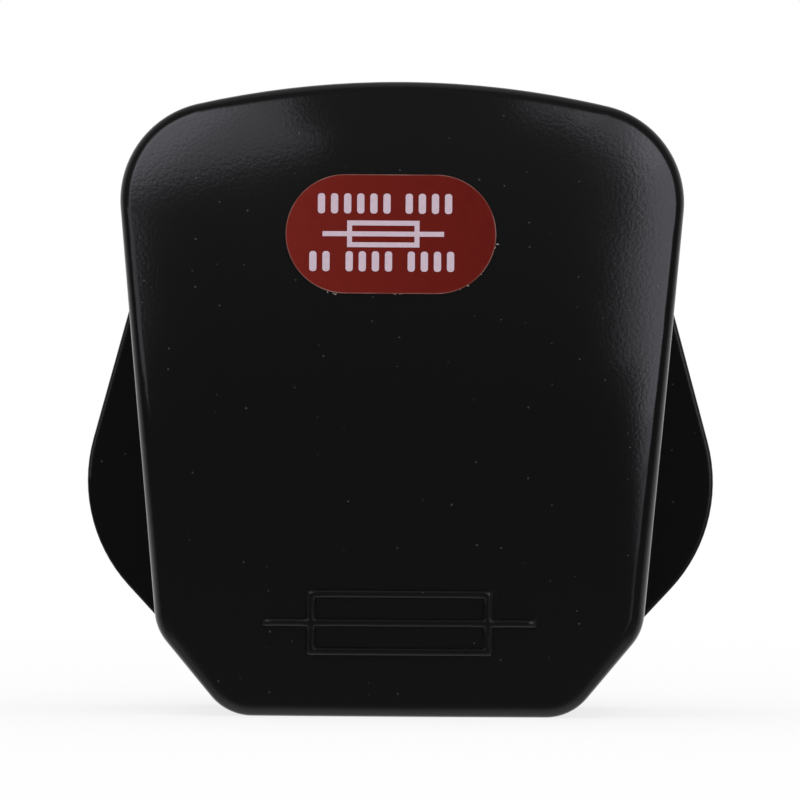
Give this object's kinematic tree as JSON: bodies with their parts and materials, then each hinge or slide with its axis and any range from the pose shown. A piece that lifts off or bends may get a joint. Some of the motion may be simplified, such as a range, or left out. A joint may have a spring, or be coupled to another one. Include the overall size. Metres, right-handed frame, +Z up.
{
  "type": "three pin mains plug",
  "caption": "Rewirable fused mains plug with rectangular sleeved pins, a tapered crowned cover, finger wings on the base, a flex inlet at its lower end and a fuse, clips and terminals inside.",
  "frame": {"origin": "on the face that meets the socket, midway between the line and neutral pins", "axes": "+Z up towards the earth pin, as in a wall socket; +Y out of the plug into the socket, along the pins; +X to the line pin's side, which is the right as seen from the cover"},
  "size_m": [0.0552, 0.0487, 0.0549],
  "materials": {
    "black_moulding": "glossy moulded thermoset with a faint ripple",
    "red_label": "printed vinyl sticker",
    "pin_brass": "drawn and milled, lightly rubbed",
    "pin_sleeve": "moulded nylon",
    "clip_bronze": "pressed spring strip",
    "fuse_ceramic": "fired tube, satin",
    "plated_cap": "nickel-plated pressing",
    "fuse_wire": "tinned copper wire",
    "plated_screw": "zinc-plated steel",
    "clamp_nylon": "moulded natural nylon",
    "fibre_washer": "punched red fibre"
  },
  "bodies": {
    "root": {"base": "black_moulding", "cover": "black_moulding", "rating_label": "red_label", "earth_pin": "pin_brass", "neutral_pin": "pin_brass", "line_pin": "pin_brass", "neutral_pin_sleeve": "pin_sleeve", "line_pin_sleeve": "pin_sleeve", "line_terminal": "pin_brass", "line_fuse_clip": "clip_bronze", "load_fuse_clip": "clip_bronze", "fuse_tube": "fuse_ceramic", "fuse_line_cap": "plated_cap", "fuse_load_cap": "plated_cap", "fuse_element": "fuse_wire", "earth_terminal_screw": "plated_screw", "neutral_terminal_screw": "plated_screw", "line_terminal_screw": "plated_screw", "flex_clamp": "clamp_nylon", "flex_clamp_screw_left": "plated_screw", "flex_clamp_screw_right": "plated_screw", "cover_screw": "plated_screw", "cover_screw_washer": "fibre_washer", "cover_insert": "pin_brass"}
  },
  "joints": []
}
